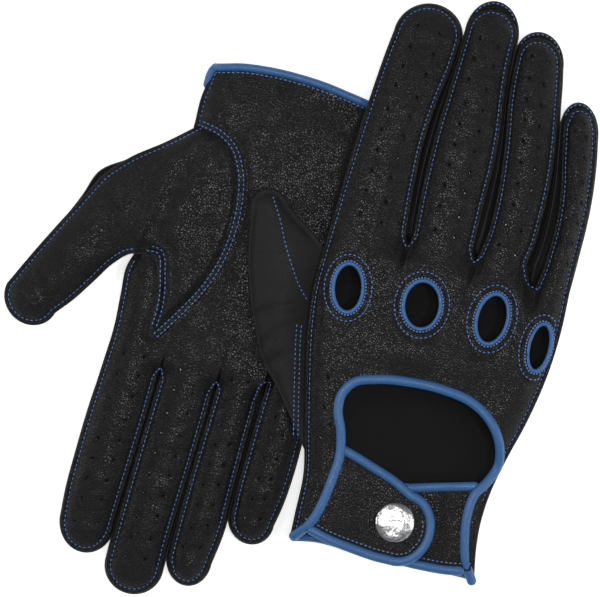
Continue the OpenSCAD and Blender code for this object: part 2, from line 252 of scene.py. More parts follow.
def limb(left, right, tip_len, lean, level, rows=None, root=None):
    """Grid of a finger's or thumb's panel: rows across it from its root, closed by a round tip.
    Returns the points and their distances from the edge."""
    middle = (smooth_line(left, np.linspace(0, 1, 40)) + smooth_line(right, np.linspace(0, 1, 40))) / 2
    n = rows or max(6, round(np.linalg.norm(np.diff(middle, axis=0), axis=1).sum() / 1.4))
    t = np.linspace(0, 1, n + 1)
    a, b = smooth_line(left, t), smooth_line(right, t)
    width = np.linalg.norm(b - a, axis=1)
    offsets = spread(width)
    share = offsets / width[:, None]
    flat = a[:, None] + share[..., None] * (b - a)[:, None]
    if root is not None:
        chord = a[0] + share[0][:, None] * (b[0] - a[0])
        pull = smooth_line(root, share[0]) - chord
        flat += (1 - step(0, 0.45, t))[:, None, None] * pull[None]
    edge = np.minimum(offsets, width[:, None] - offsets)
    half = np.repeat(width[:, None] / 2, offsets.shape[1], 1)
    # round tip
    centre, out = (a[-1] + b[-1]) / 2, (b[-1] - a[-1]) / 2
    ahead = np.array([-out[1], out[0]]) / np.linalg.norm(out) * tip_len + lean * out
    radius = np.linalg.norm(out)
    u = 2 * share[-1] - 1
    inner = np.linspace(0, 1 - LIPS[-1] / tip_len, 1 + max(3, round((tip_len - LIPS[-1]) / CELL)))[1:]
    v = np.r_[inner, (1 - LIPS / tip_len)[::-1][1:]]
    U, V = np.meshgrid(u, v)
    r = np.maximum(np.abs(U), V)
    side = np.abs(U) >= V
    angle = np.where(side, V / np.maximum(np.abs(U), 1e-6), 2 - np.abs(U) / V) * np.pi / 4
    X, Y = np.sign(U) * r * np.cos(angle), r * np.sin(angle)
    tip = centre + X[..., None] * out + Y[..., None] * ahead
    edge = np.vstack([edge, (1 - r) * (radius * np.cos(angle) ** 2 + tip_len * np.sin(angle) ** 2)])
    half = np.vstack([half, np.full(U.shape, radius)])
    flat = np.vstack([flat, tip])
    near_tip = np.r_[
        step(0.72, 1.0, t)[:, None] * np.ones(offsets.shape[1]) * 0.6, 0.6 + 0.4 * r * np.clip(Y, 0, 1),
    ]
    sign = np.sign(level["crown"])
    seam = level["seam"] + (level["seam_tip"] - level["seam"]) * near_tip
    puff = level["crown"] * (1 - 0.12 * near_tip) * crown(edge, half)
    height = seam + puff + sign * level.get("lip", 1) * lip(edge)
    return np.dstack([flat, height]), edge


def edges_at(glove, i, y):
    """Left and right edge of finger i at the heights y, or nothing past its tip."""
    stations, tip_len, lean = shape[glove]["fingers"][digits[i]]
    at = [s[0] for s in stations]
    return np.interp(
        y, at, [s[1] for s in stations],
    ), np.interp(y, at, [s[2] for s in stations]), y <= at[-1] + 4


def stations_of(glove, i, level):
    """A finger's outline. The lower panels reach half-way to the next fingers and just overlap there."""
    stations, tip_len, lean = shape[glove]["fingers"][digits[i]]
    if level["crown"] > 0:
        return stations, tip_len, lean
    y = np.array([s[0] for s in stations])
    left, right, _ = edges_at(glove, i, y)
    over = 0.35 * step(y[0], y[0] + 8, y)
    left_out = right_out = 0.5 * step(y[0], y[0] + 12, y)
    if i > 0:
        _, other, there = edges_at(glove, i - 1, y)
        left_out = np.where(there, (left - other) / 2 + over, 0.6)
    if i < 3:
        other, _, there = edges_at(glove, i + 1, y)
        right_out = np.where(there, (other - right) / 2 + over, 0.8)
    longer = [0.5, 3.0, 2.6, 1.6][i] if glove == "front" else 0.3
    return list(zip(y, left - left_out, right + right_out)), tip_len + longer, lean


def finger_grid(glove, name, level):
    i = digits.index(name)
    stations, tip_len, lean = stations_of(glove, i, level)
    y0 = stations[0][0]
    points, edge = limb(
        [(l, y) for y, l, r in stations], [(r, y) for y, l, r in stations], tip_len, lean, level,
    )
    x, y = points[..., 0], points[..., 1]
    calm = step(y0, y0 + 14, y) * step(2.5, 6, edge)
    seed = 3.0 * i + (0 if glove == "front" else 20)
    points[..., 2] += np.sign(level["crown"]) * 0.4 * calm * wrinkle(x * 0.45, y, 8.0, seed)
    if level["crown"] < 0:
        points[..., 2] += 1.1 * (i % 2) * step(y0, y0 + 15, y)
    return points, edge


def hand_grid(glove, level, wrinkles):
    """Grid of a hand's panel from the wrist to the finger roots and the crotches between them."""
    s = shape[glove]
    roots, ys, valley = [], [], []
    outlines = [stations_of(glove, i, level)[0] for i in range(4)]
    for i, stations in enumerate(outlines):
        y0, left, right = stations[0]
        pos = spread(np.array([right - left]))[0]
        roots.append(left + pos)
        ys.append(np.full(len(pos), y0, float))
        edge = np.minimum(pos, right - left - pos)
        valley.append(
            level["crown"] * crown(
                edge, np.full(len(pos), (right - left) / 2),
            ) + np.sign(level["crown"]) * lip(edge)
        )
        if i < 3:
            y1, left1, _ = outlines[i + 1][0]
            dip = s["crotch"][i] if level["crown"] > 0 else 0.0
            f = np.array([0.25, 0.5, 0.75])
            roots.append(right + f * (left1 - right))
            ys.append(y0 + f * (y1 - y0) - dip * np.sin(np.pi * f) ** 0.6)
            valley.append(np.full(3, np.sign(level["crown"]) * -0.3))
    root_x, root_y, finger_h = np.concatenate(roots), np.concatenate(ys), np.concatenate(valley)
    n = round(126 / 1.1)
    t = np.linspace(0, 1, n + 1)[:, None]
    wrist_y = side_at(
        [(x, y) for x, y in s["wrist"]], np.linspace(s["wrist"][0][0], s["wrist"][-1][0], len(root_x)),
    )
    y = wrist_y + (root_y - wrist_y) * t
    m = LIPS[-1]
    k = len(LIPS)
    low, high = side_at(s["left"], y), side_at(s["right"], y)
    share = (root_x - low[-1] - m) / (high[-1] - low[-1] - 2 * m)
    even = np.r_[np.zeros(k), np.linspace(0, 1, len(root_x) - 2 * k + 2)[1:-1], np.ones(k)]
    mixed = even + (share - even) * step(0.45, 1.0, t)
    x = low + m + mixed * (high - low - 2 * m)
    x[:, :k] = low[:, :k] + LIPS
    x[:, -k:] = high[:, -k:] - LIPS[::-1]
    edge = np.minimum(x - low, high - x)
    sign = np.sign(level["crown"])
    middle = (x - low) / (high - low) * 2 - 1
    flat_h = level["crown"] * crown(edge, np.full(edge.shape, 10.0)) + sign * lip(edge)
    flat_h += sign * level["pillow"] * (1 - middle**2) * step(0.0, 0.15, t) * (1 - step(0.8, 1.0, t))
    f = step(-12 if glove == "front" else -8, 0, y - root_y)
    height = level["seam"] + (1 - f) * flat_h + f * finger_h
    calm = (1 - step(-12, -2, y - root_y)) * step(2.5, 7, edge)
    height += sign * wrinkles * calm * wrinkle(x, y, 16.0, 5.0 if glove == "front" else 40.0)
    return np.dstack([x, y, height]), edge


def add_grid(bm, points, number=0, flip=False):
    """Adds a grid of points to a mesh as one part of it."""
    part = bm.faces.layers.int.get("part") or bm.faces.layers.int.new("part")
    before = len(bm.faces)
    one = grid_mesh(points)
    if flip:
        bmesh.ops.reverse_faces(one, faces=one.faces[:])
    mesh = bpy.data.meshes.new("grid")
    one.to_mesh(mesh)
    one.free()
    bm.from_mesh(mesh)
    bpy.data.meshes.remove(mesh)
    bm.faces.ensure_lookup_table()
    for face in bm.faces[before:]:
        face[part] = number
    return bm


# ---- Openings in the back: the keyhole opening at the wrist and four knuckle holes
# They are cut through the back panel, and their bindings cover the cut edges.
opening_line = [
    (-38.1, 1), (-32.2, 7.9), (-29, 16.7), (-27.2, 26), (-26.0, 36), (
        -27.4, 45.5,
    ), (-30.2, 54), (-30.0, 60), (-26.4, 65.4),
    (-17, 68.6), (-3, 70.0), (10, 69.5), (22, 66.8), (
        30.4, 61.4,
    ), (36.4, 52.4), (37.5, 43.5), (34.4, 36.6), (30.6, 31),
    (29.2, 22), (30.2, 12.1), (32.4, 3.4), (36.2, -3.4),
]
knuckle_holes = {
    "front": [
        (-35.8, 101.8, 5.3, 8.9, 8), (-5.4, 100.9, 6.8, 8.9, 6), (23.5, 100.9, 5.6, 9.4, -4),
        (44.6, 93.5, 3.7, 8.9, -2),
    ],
    "rear": [
        (-26.3, 101.0, 5.0, 8.9, 0), (-3.4, 101.0, 6.4, 8.9, 0), (17.4, 100.0, 5.4, 8.9, 0),
        (36.8, 94.5, 3.8, 8.7, 0),
    ],
}


def opening_path(glove, n=160):
    line = smooth_line(opening_line, np.linspace(0, 1, n))
    if glove == "rear":
        line[:, 0] = 0.9 * line[:, 0] + 6.3
    return line


def hole_ring(hole, away, n):
    """Points round a knuckle hole, at a distance outside its edge."""
    x, y, half_w, half_h, tilt = hole
    a = np.linspace(0, 2 * np.pi, n, endpoint=False)
    px, py = (half_w + away) * np.cos(a), (half_h + away) * np.sin(a)
    c, s = math.cos(math.radians(tilt)), math.sin(math.radians(tilt))
    return np.c_[x + c * px - s * py, y + s * px + c * py]


def inside_line(line, x, y):
    """Whether a point lies inside a closed line."""
    a, b = line, np.roll(line, -1, 0)
    over = (a[:, 1] > y) != (b[:, 1] > y)
    cross = (b[over, 0] - a[over, 0]) * (y - a[over, 1]) / (b[over, 1] - a[over, 1]) + a[over, 0]
    return np.count_nonzero(x < cross) % 2 == 1


def cut_hole(bm, line, closed):
    """Takes out the faces whose middles are inside a closed line and moves the new edge onto the line."""
    low, high = closed.min(0), closed.max(0)
    gone = []
    for f in bm.faces:
        c = f.calc_center_median()
        if low[0] < c.x < high[0] and low[1] < c.y < high[1] and inside_line(closed, c.x, c.y):
            gone.append(f)
    ring = {v for f in gone for v in f.verts}
    bmesh.ops.delete(bm, geom=gone, context="FACES")
    for v in ring:
        if v.is_valid:
            k = np.argmin((line[:, 0] - v.co.x) ** 2 + (line[:, 1] - v.co.y) ** 2)
            if np.hypot(line[k, 0] - v.co.x, line[k, 1] - v.co.y) < 1.6:
                v.co.x, v.co.y = line[k]


def cut_back(bm, glove):
    path = opening_path(glove, 500)
    past = np.array([(path[-1, 0] + 1, -9), (path[0, 0] - 3, -9), (path[0, 0] - 3, path[0, 1])])
    cut_hole(bm, path, np.vstack([path, past]))
    for hole in knuckle_holes[glove]:
        line = hole_ring(hole, 0.6, 300)
        cut_hole(bm, line, line)


def dent_back(points, glove):
    """The back sags a little towards the wrist, and stitching pulls a groove round each knuckle hole."""
    x, y = points[..., 0], points[..., 1]
    points[..., 2] -= 1.7 * (1 - step(20, 72, y))
    points[..., 2] += 1.3 * np.exp(-(((x + 2) / 22) ** 2 + ((y - 82) / 9) ** 2))
    for hx, hy, half_w, half_h, tilt in knuckle_holes[glove]:
        c, s = math.cos(math.radians(tilt)), math.sin(math.radians(tilt))
        dx, dy = c * (x - hx) + s * (y - hy), -s * (x - hx) + c * (y - hy)
        q = np.sqrt((dx / half_w) ** 2 + (dy / half_h) ** 2)
        away = (q - 1) * (half_w + half_h) / 2
        points[..., 2] += 0.35 * np.exp(
            -(((away - 3.0) / 0.9) ** 2)
        ) - 0.45 * np.exp(-(((away - 4.3) / 0.8) ** 2))
        points[..., 2] -= 0.8 * np.exp(-((np.maximum(away, 0) / 1.6) ** 2))
    return points


# ---- Perforations
# Two rows of small punched holes down each finger and a few beside the thumb, to let air through.
def finger_holes(glove, name):
    """Places of the perforations on a finger: pairs across it, down its length."""
    stations = shape[glove]["fingers"][name][0]
    y0, y1 = stations[0][0] + (4 if glove == "front" else -6), stations[-1][0] + 3
    apart = {"index": 4.4, "middle": 3.9, "ring": 3.4, "little": 2.7}[name]
    found = []
    for k, y in enumerate(np.arange(y0, y1, 8.6)):
        left = np.interp(y, [s[0] for s in stations], [s[1] for s in stations])
        right = np.interp(y, [s[0] for s in stations], [s[2] for s in stations])
        middle = (left + right) / 2
        found += [(middle - apart, y + 0.8), (middle + apart, y - 0.8)]
    return found


perforations = {
    glove: [p for name in digits for p in finger_holes(glove, name)]
    for glove in ("front", "rear")
}
side_holes = [(-35.2, 28), (-31.6, 34.5), (-35.4, 41), (-31.8, 47.4), (-35.8, 54), (-36.4, 66)]


def punch(bm, places, sink, size=0.6):
    """Small round holes at the mesh's nearest corners, with their rims pressed in by the punch."""
    kd = KDTree(len(bm.verts))
    for i, v in enumerate(bm.verts):
        kd.insert((v.co.x, v.co.y, 0), i)
    kd.balance()
    bm.verts.ensure_lookup_table()
    found = {bm.verts[kd.find((x, y, 0))[1]] for x, y in places}
    found = [v for v in found if not v.is_boundary and len(v.link_faces) == 4]
    made = bmesh.ops.bevel(
        bm, geom=found, offset=size, affect="VERTICES", segments=2, profile=0.5, material=-1,
    )
    for v in {v for face in made["faces"] for v in face.verts}:
        v.co.z -= sink
    bmesh.ops.delete(bm, geom=made["faces"], context="FACES")


# ---- Panels
# Black leather with a fine raised grain, suede on its inner face and raw cut edges. Hand and
# fingers are cut as one panel on each side. Here each finger's part is its own piece.
def new_group(name, inputs, outputs):
    tree = bpy.data.node_groups.new(name, "ShaderNodeTree")
    for label, kind, value in inputs:
        tree.interface.new_socket(label, in_out="INPUT", socket_type=kind).default_value = value
    for label, kind in outputs:
        tree.interface.new_socket(label, in_out="OUTPUT", socket_type=kind)
    return tree, tree.nodes.new("NodeGroupInput"), tree.nodes.new("NodeGroupOutput")


def node(tree, kind, links=(), **values):
    """A node with its settings and socket values, and its inputs linked from other nodes' sockets."""
    n = tree.nodes.new(kind)
    for key, value in values.items():
        if hasattr(n, key):
            setattr(n, key, value)
        else:
            n.inputs[key.replace("_", " ")].default_value = value
    for socket, source in dict(links).items():
        tree.links.new(source, n.inputs[socket])
    return n


def grain_group():
    """Pebbled grain of small leather cells with creases between them, and slow changes of tone."""
    tree, given, out = new_group(
        "leather_grain",
        [
            ("Cell Scale", "NodeSocketFloat", 1500.0), ("Depth", "NodeSocketFloat", 0.5),
            ("Wear", "NodeSocketFloat", 0.5),
        ],
        [("Height", "NodeSocketFloat"), ("Tone", "NodeSocketFloat"), ("Pebble", "NodeSocketFloat")],
    )
    where = node(tree, "ShaderNodeTexCoord").outputs["Object"]
    bend = node(tree, "ShaderNodeTexNoise", {"Vector": where}, Scale=420.0, Detail=2.0)
    offset = node(tree, "ShaderNodeVectorMath", {0: bend.outputs["Color"]}, operation="SCALE")
    offset.inputs["Scale"].default_value = 0.0003
    moved = node(tree, "ShaderNodeVectorMath", {0: where, 1: offset.outputs[0]}, operation="ADD")
    cells = node(
        tree, "ShaderNodeTexVoronoi", {"Vector": moved.outputs[0], "Scale": given.outputs["Cell Scale"]},
        feature="DISTANCE_TO_EDGE",
    )
    pebble = node(
        tree, "ShaderNodeMapRange", {"Value": cells.outputs["Distance"]}, interpolation_type="SMOOTHSTEP",
    )
    pebble.inputs["From Max"].default_value = 0.24
    patch = node(tree, "ShaderNodeTexNoise", {"Vector": where}, Scale=260.0, Detail=3.0, Roughness=0.6)
    strong = node(tree, "ShaderNodeMapRange", {"Value": patch.outputs["Fac"]})
    for key, value in {"From Min": 0.3, "From Max": 0.7, "To Min": 0.45, "To Max": 1.0}.items():
        strong.inputs[key].default_value = value
    cell_height = node(
        tree, "ShaderNodeMath", {0: pebble.outputs[0], 1: strong.outputs[0]}, operation="MULTIPLY",
    )
    scaled = node(
        tree, "ShaderNodeMath", {0: cell_height.outputs[0], 1: given.outputs["Depth"]},
        operation="MULTIPLY",
    )
    soft = node(tree, "ShaderNodeTexNoise", {"Vector": where}, Scale=150.0, Detail=1.5, Roughness=0.5)
    rolls = node(tree, "ShaderNodeMath", {0: soft.outputs["Fac"]}, operation="MULTIPLY")
    rolls.inputs[1].default_value = 0.8
    height = node(tree, "ShaderNodeMath", {0: scaled.outputs[0], 1: rolls.outputs[0]}, operation="ADD")
    slow = node(tree, "ShaderNodeTexNoise", {"Vector": where}, Scale=45.0, Detail=3.0)
    tone = node(
        tree, "ShaderNodeMath", {0: slow.outputs["Fac"], 1: given.outputs["Wear"]}, operation="MULTIPLY",
    )
    tree.links.new(height.outputs[0], out.inputs["Height"])
    tree.links.new(tone.outputs[0], out.inputs["Tone"])
    tree.links.new(pebble.outputs[0], out.inputs["Pebble"])
    return tree


grain = grain_group()


def leather(
    name, dark, light, rough_low, rough_high, cell, depth, bump, distance, coat=0.0, sheen=0.0,
    specular=0.5,
):
    """A leather whose grain raises the surface and whose slow tone changes its colour and gloss. Its colour is
    also darker in the creases between the grain cells, a painted shade.
    """
    m = bpy.data.materials.new(name)
    m.use_nodes = True
    tree = m.node_tree
    shader = tree.nodes["Principled BSDF"]
    g = tree.nodes.new("ShaderNodeGroup")
    g.node_tree = grain
    g.inputs["Cell Scale"].default_value = cell
    g.inputs["Depth"].default_value = depth
    g.inputs["Wear"].default_value = 1.0
    # Colour: the slow random tone on the cell tops, and darker creases between the cells, which is painted shade.
    tone_and_crease_shade = node(tree, "ShaderNodeMath", {0: g.outputs["Tone"], 1: g.outputs["Pebble"]}, operation="MULTIPLY")
    ramp = node(tree, "ShaderNodeMix", {"Factor": tone_and_crease_shade.outputs[0]}, data_type="RGBA")
    ramp.inputs["A"].default_value = (*dark, 1)
    ramp.inputs["B"].default_value = (*light, 1)
    tree.links.new(ramp.outputs["Result"], shader.inputs["Base Color"])
    gloss = node(tree, "ShaderNodeMapRange", {"Value": g.outputs["Pebble"]})
    gloss.inputs["To Min"].default_value = rough_high
    gloss.inputs["To Max"].default_value = rough_low
    tree.links.new(gloss.outputs[0], shader.inputs["Roughness"])
    raised = node(tree, "ShaderNodeBump", {"Height": g.outputs["Height"]}, Strength=bump, Distance=distance)
    tree.links.new(raised.outputs[0], shader.inputs["Normal"])
    if coat:
        finish = node(tree, "ShaderNodeMath", {0: g.outputs["Pebble"]}, operation="MULTIPLY")
        finish.inputs[1].default_value = coat
        tree.links.new(finish.outputs[0], shader.inputs["Coat Weight"])
        shader.inputs["Coat Roughness"].default_value = 0.31
    shader.inputs["Sheen Weight"].default_value = sheen
    shader.inputs["Specular IOR Level"].default_value = specular
    return m


black = leather(
    "black_leather", (0.005, 0.005, 0.0055), (0.010, 0.010, 0.011), 0.31, 0.75, 1080, 1.0, 1.0, 0.00019,
    specular=0.3,
)
suede = leather(
    "suede_inside", (0.009, 0.009, 0.0092), (0.018, 0.018, 0.019), 0.85, 0.98, 2600, 0.6, 0.8, 0.0004,
    sheen=0.05, specular=0.15,
)
raw_edge = leather(
    "raw_edge", (0.04, 0.04, 0.043), (0.11, 0.11, 0.113), 0.75, 0.95, 3000, 0.8, 0.6, 0.0002, specular=0.3,
)


def piece(name, bm, materials, glove, body, replaces=(), bend=None):
    """Puts a finished shape in its glove's place as a named piece that rides on a body, or, given a bend, is left
    in place with no parent.
    """
    place = lay[glove]
    bm.transform(place)
    if place.determinant() < 0:
        bmesh.ops.reverse_faces(bm, faces=bm.faces[:])
    mesh = bpy.data.meshes.new(name)
    bm.to_mesh(mesh)
    bm.free()
    mesh.shade_smooth()
    for m in materials:
        mesh.materials.append(m)
    thing = bpy.data.objects.new(name, mesh)
    bpy.context.scene.collection.objects.link(thing)
    if replaces:
        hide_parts(*replaces)
    if bend:
        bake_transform(thing)
    else:
        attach(thing, body)
    return thing


def thicken(bm, wall=WALL):
    """Gives a sheet its thickness on the inside: the inner face is suede and the cut edges are raw."""
    bm.normal_update()
    part = bm.faces.layers.int.get("part")
    rim = [(edge, edge.link_faces[0]) for edge in bm.edges if len(edge.link_faces) == 1]
    inner = {v: bm.verts.new(v.co - v.normal * wall) for v in bm.verts[:]}
    for face in bm.faces[:]:
        made = bm.faces.new([inner[v] for v in reversed(face.verts)])
        made.material_index = 1
        if part:
            made[part] = face[part]
    for edge, face in rim:
        a, b = edge.verts
        order = list(face.verts)
        if order[(order.index(a) + 1) % len(order)] != b:
            a, b = b, a
        made = bm.faces.new((b, a, inner[a], inner[b]))
        made.material_index = 2
        if part:
            made[part] = face[part]


def split_part(bm, number):
    """A copy of one part of a joined panel."""
    copy = bm.copy()
    layer = copy.faces.layers.int["part"]
    bmesh.ops.delete(copy, geom=[f for f in copy.faces if f[layer] != number], context="FACES")
    return copy


def finger_bend(glove, name):
    """Where a finger starts and stops bending: from its root to a knuckle's length along it."""
    if (glove, name) == ("rear", "little"):
        return None
    stations = shape[glove]["fingers"][name][0]
    (y0, left, right), (y1, left1, right1) = stations[0], stations[2]
    start = Vector(((left + right) / 2, y0, THICK / 2))
    along = Vector(((left1 + right1 - left - right) / 2, y1 - y0, 0)).normalized()
    return start, start + 17 * along


def finger_body(glove, name):
    return "rear_glove" if (glove, name) == ("rear", "little") else f"{glove}_{name}"


# The seam of the large thumb piece that is set into the palm, and the side of its tongue
thenar_seam = [
    (-26.9, 26.2), (-19, 27.7), (-12.9, 31.3), (-8.3, 38.3), (-5.2, 48.5), (-4.1, 60), (-5.0, 72.7),
    (-8.4, 85), (-14, 96.5), (-22.2, 110.3),
]
tongue_seam = [(-22.2, 110.3), (-21.9, 99.5), (-24.2, 88.0), (-28.6, 78.2), (-36.2, 79.0)]


def distance_to(line, points):
    """Flat distance of every point to a line."""
    flat = np.reshape(points, (-1, 3))[:, :2]
    best = np.full(len(flat), 1e9)
    for x, y in line:
        best = np.minimum(best, np.hypot(flat[:, 0] - x, flat[:, 1] - y))
    return np.reshape(best, np.shape(points)[:-1])


seam_line = smooth_line(thenar_seam, np.linspace(0, 1, 260))
tongue_line = smooth_line(tongue_seam, np.linspace(0, 1, 120))


def cut_for_thumb(bm):
    both = np.vstack([seam_line, tongue_line])
    cut_hole(bm, both, np.vstack([both, [(-60, 79.0), (-60, 26.2)]]))


grids, surfaces = {}, {}
for glove in ("front", "rear"):
    for side, level, wrinkles in (("top", TOP, 0.5 if glove == "front" else 0.6), ("under", UNDER, 0.15)):
        is_back = (show_side if side == "top" else hidden_side)[glove] == "back"
        points = hand_grid(glove, level, wrinkles)[0]
        if is_back and side == "top":
            points = dent_back(points, glove)
        if (glove, side) == ("rear", "top"):
            away = distance_to(np.vstack([seam_line, tongue_line]), points)
            points[..., 2] += 0.35 * np.exp(
                -(((away - 1.8) / 1.0) ** 2)
            ) - 0.35 * np.exp(-(((away - 4.2) / 1.2) ** 2))
        parts = [points] + [finger_grid(glove, name, level)[0] for name in digits]
        grids[glove, side] = parts
        bm = bmesh.new()
        for number, points in enumerate(parts):
            add_grid(bm, points, number, flip=side == "under")
        bmesh.ops.remove_doubles(bm, verts=bm.verts[:], dist=0.02)
        surfaces[glove, side] = BVHTree.FromBMesh(bm)
        if is_back:
            cut_back(bm, glove)
        elif glove == "rear":
            cut_for_thumb(bm)
        punch(
            bm, perforations[glove] + (side_holes if glove == "front" else []),
            0.4 if side == "top" else -0.4,
        )
        thicken(bm)
        face = (show_side if side == "top" else hidden_side)[glove]
        for number, name in enumerate(["hand"] + digits):
            one = split_part(bm, number)
            finger = name != "hand"
            piece(
                f"{glove}_{name}_{face}_leather", one, [black, suede, raw_edge], glove,
                finger_body(glove, name) if finger else f"{glove}_glove", [f"{glove}_{name}_{face}"],
                finger_bend(glove, name) if finger else None,
            )
        bm.free()


# ---- Fourchettes and side strips
# Narrow matt leather strips between the back and the palm: one round each finger, short pieces in the
# crotches, and the sides of the hand. They are sewn in along both edges.
# A darker copy of the black leather: painted shade on the strips that lie in the shadow between the back and palm
# panels.
shaded_strip_black = leather(
    "shaded_fourchette_strip", (0.003, 0.003, 0.0036), (0.006, 0.006, 0.0066), 0.5, 0.7, 1700, 0.8, 0.45, 0.0002,
    specular=0.25,
)


def loop_at(points, k):
    """The line through a finger's grid at its k-th column, up one side, round the tip and down the other."""
    return np.vstack(
        [points[: -1 - k, k], points[-1 - k, k : points.shape[1] - k], points[: -1 - k, -1 - k][::-1]]
    )


def resampled(line, n):
    d = np.r_[0, np.cumsum(np.linalg.norm(np.diff(line, axis=0), axis=1))]
    s = np.linspace(0, d[-1], n)
    return np.c_[tuple(np.interp(s, d, line[:, i]) for i in range(line.shape[1]))]


def strip(bm, top, under, inward, depth=1.1, n=80):
    """A strip from a line under the upper seam to a line over the lower seam, drawn in between them."""
    top, under, inward = resampled(top, n), resampled(under, n), resampled(inward, n)
    top = top - [0, 0, 0.75]
    under = under + [0, 0, 0.75]
    into = inward - top
    into[:, 2] = 0
    into /= np.maximum(np.linalg.norm(into, axis=1)[:, None], 1e-6)
    rows = []
    for q in (0, 0.12, 0.3, 0.5, 0.7, 0.88, 1):
        rows.append(top * (1 - q) + under * q + into * depth * math.sin(math.pi * q) ** 0.7)
    add_grid(bm, np.array(rows).transpose(1, 0, 2))


for glove in ("front", "rear"):
    top, under = grids[glove, "top"], grids[glove, "under"]
    for i, name in enumerate(digits):
        bm = bmesh.new()
        a, b = top[i + 1], under[i + 1]
        strip(bm, loop_at(a, 2), loop_at(b, 2), loop_at(a, 6), n=150)
        bmesh.ops.recalc_face_normals(bm, faces=bm.faces[:])
        nodes = [f"{glove}_fourchette_{name}_{digits[j]}" for j in (i - 1, i + 1) if 0 <= j < 4]
        piece(
            f"{glove}_{name}_fourchettes", bm, [shaded_strip_black], glove,
            finger_body(glove, name), nodes, finger_bend(glove, name),
        )
    bm = bmesh.new()
    for k in (2, -3):
        strip(bm, top[0][:, k], under[0][:, k], top[0][:, 6 if k > 0 else -7], depth=0.4)
    for i in range(3):
        a, b = top[i + 1], top[i + 2]
        c, d = under[i + 1], under[i + 2]
        crotch = lambda p, q, dip: smooth_line(
            [p[0, -3], (p[0, -1] + q[0, 0]) / 2 - [0, dip, 0], q[0, 2]], np.linspace(0, 1, 20),
        )
        upper = crotch(a, b, shape[glove]["crotch"][i])
        strip(bm, upper, crotch(c, d, 0.6), upper - [0, 5, 0], depth=0.2, n=20)
    bmesh.ops.recalc_face_normals(bm, faces=bm.faces[:])
    piece(f"{glove}_side_strips", bm, [black], glove, f"{glove}_glove")


# ---- Bindings
# Smooth blue leather strips folded over the cut edges and rolled into a round edge.
blue = leather(
    "blue_binding", (0.030, 0.115, 0.31), (0.055, 0.185, 0.44), 0.32, 0.5, 1700, 0.6, 0.4, 0.00025,
    coat=0.12,
)


def tube(path, half_w, half_h, closed=False, up=(0, 0, 1), sides=14):
    """A rounded tube along a path, closed by round ends unless the path is a ring."""
    path = np.array(path, float)
    if closed:
        path = np.vstack([path, path[:1]])
        tangent = np.roll(path[:-1], -1, 0) - np.roll(path[:-1], 1, 0)
        tangent = np.vstack([tangent, tangent[:1]])
        size = np.ones(len(path))
    else:
        tangent = np.gradient(path, axis=0)
        unit = lambda v: v / np.linalg.norm(v)
        q = np.array([1.0, 0.94, 0.77, 0.5, 0.2])
        first, last = unit(tangent[0]), unit(tangent[-1])
        path = np.vstack(
            [path[0] - first * half_w * q[:, None], path, path[-1] + last * half_w * q[::-1, None]]
        )
        tangent = np.vstack([np.repeat(tangent[:1], 5, 0), tangent, np.repeat(tangent[-1:], 5, 0)])
        round_off = np.sqrt(1 - q**2)
        round_off[0] = 0.001
        size = np.r_[round_off, np.ones(len(path) - 10), round_off[::-1]]
    tangent /= np.linalg.norm(tangent, axis=1)[:, None]
    side = np.cross(tangent, up)
    side /= np.linalg.norm(side, axis=1)[:, None]
    top = np.cross(side, tangent)
    a = np.linspace(0, 2 * np.pi, sides + 1)
    ring = side[:, None] * (
        half_w * np.cos(a)
    )[None, :, None] + top[:, None] * (half_h * np.sin(a))[None, :, None]
    bm = grid_mesh(path[:, None] + size[:, None, None] * ring)
    bmesh.ops.remove_doubles(bm, verts=bm.verts[:], dist=0.004)
    bmesh.ops.recalc_face_normals(bm, faces=bm.faces[:])
    return bm


def on_surface(glove, side, line, lift=0.0):
    """A flat line laid on a glove's upper or lower face, lifted off it."""
    tree = surfaces[glove, side]
    sign = 1 if side == "top" else -1
    laid = []
    for x, y in line:
        hit = tree.ray_cast(Vector((x, y, 6 + 30 * sign)), Vector((0, 0, -sign)))[0]
        if hit is None:
            hit = tree.find_nearest(Vector((x, y, laid[-1][2] if laid else 6 + 4 * sign)))[0]
        laid.append((x, y, hit.z + sign * lift))
    laid = np.array(laid)
    return laid


def softened(line, times=6):
    """Evens out the heights along a line."""
    for _ in range(times):
        line[1:-1, 2] = (line[:-2, 2] + 2 * line[1:-1, 2] + line[2:, 2]) / 4
    return line


def merge(bm, other):
    mesh = bpy.data.meshes.new("joined")
    other.to_mesh(mesh)
    other.free()
    bm.from_mesh(mesh)
    bpy.data.meshes.remove(mesh)
    return bm


for glove in ("front", "rear"):
    back = "top" if glove == "front" else "under"
    palm = "under" if glove == "front" else "top"
    sign = 1 if back == "top" else -1
    path = softened(on_surface(glove, back, opening_path(glove, 220), 0.0), 20)
    piece(
        f"{glove}_opening_binding_tube", tube(path, 1.95, 1.45), [blue], glove, f"{glove}_glove",
        [f"{glove}_opening_binding"],
    )
    bm = bmesh.new()
    for hole in knuckle_holes[glove]:
        ring = on_surface(glove, back, hole_ring(hole, 0.8, 64), 0.0)
        ring[:, 2] = ring[:, 2].mean() * 0.4 + ring[:, 2] * 0.6
        merge(bm, tube(ring, 0.9, 0.75, closed=True, sides=10))
    piece(
        f"{glove}_knuckle_rings", bm, [blue], glove, f"{glove}_glove",
        [f"{glove}_knuckle_bindings"],
    )
    edge_line = grids[glove, palm][0][0][3:-3]
    if glove == "rear":
        corner = edge_line[0]
        edge_line = np.vstack(
            [corner + [-1.6, 7.5, -1.5], corner + [-1.7, 4.0, -0.6], corner + [-1.2, 1.2, -0.1], edge_line]
        )
    edge_line = resampled(edge_line, 80)
    edge_line[:, 2] = edge_line[:, 2] - sign * -0.2
    piece(
        f"{glove}_wrist_binding_tube", tube(softened(edge_line), 1.6, 1.5), [blue], glove,
        f"{glove}_glove", [f"{glove}_wrist_binding"],
    )


